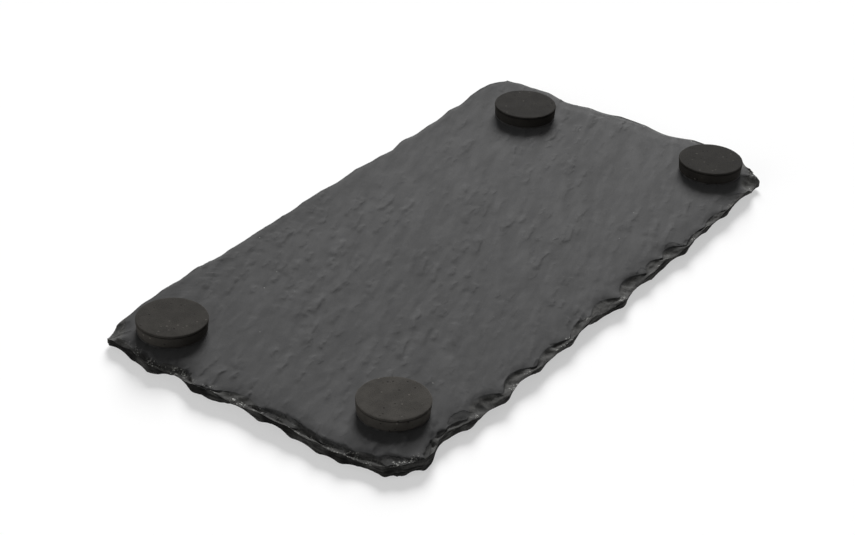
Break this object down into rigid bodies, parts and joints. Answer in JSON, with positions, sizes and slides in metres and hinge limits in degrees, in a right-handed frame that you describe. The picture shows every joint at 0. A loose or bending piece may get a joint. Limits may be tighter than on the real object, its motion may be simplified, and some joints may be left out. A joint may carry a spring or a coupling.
{
  "type": "slate serving board",
  "caption": "Rectangular split-slate serving board with hand-flaked edges, stored on its serving face with round foam feet stuck to its underside.",
  "frame": {"origin": "on the serving face, under the middle of the board's bounding box", "axes": "+X along the board's length, +Y across it, +Z from the serving face to the feet; stored feet up, as pictured, so a half turn about X puts it in use"},
  "size_m": [0.206, 0.1062, 0.0087],
  "materials": {
    "slate": "natural riven slate, matt",
    "foam": "closed-cell black foam, matt",
    "adhesive": "black adhesive film"
  },
  "bodies": {
    "root": {"slate_slab": "slate", "foot_front_left": "foam", "foot_front_right": "foam", "foot_back_left": "foam", "foot_back_right": "foam", "adhesive_front_left": "adhesive", "adhesive_front_right": "adhesive", "adhesive_back_left": "adhesive", "adhesive_back_right": "adhesive"}
  },
  "joints": []
}
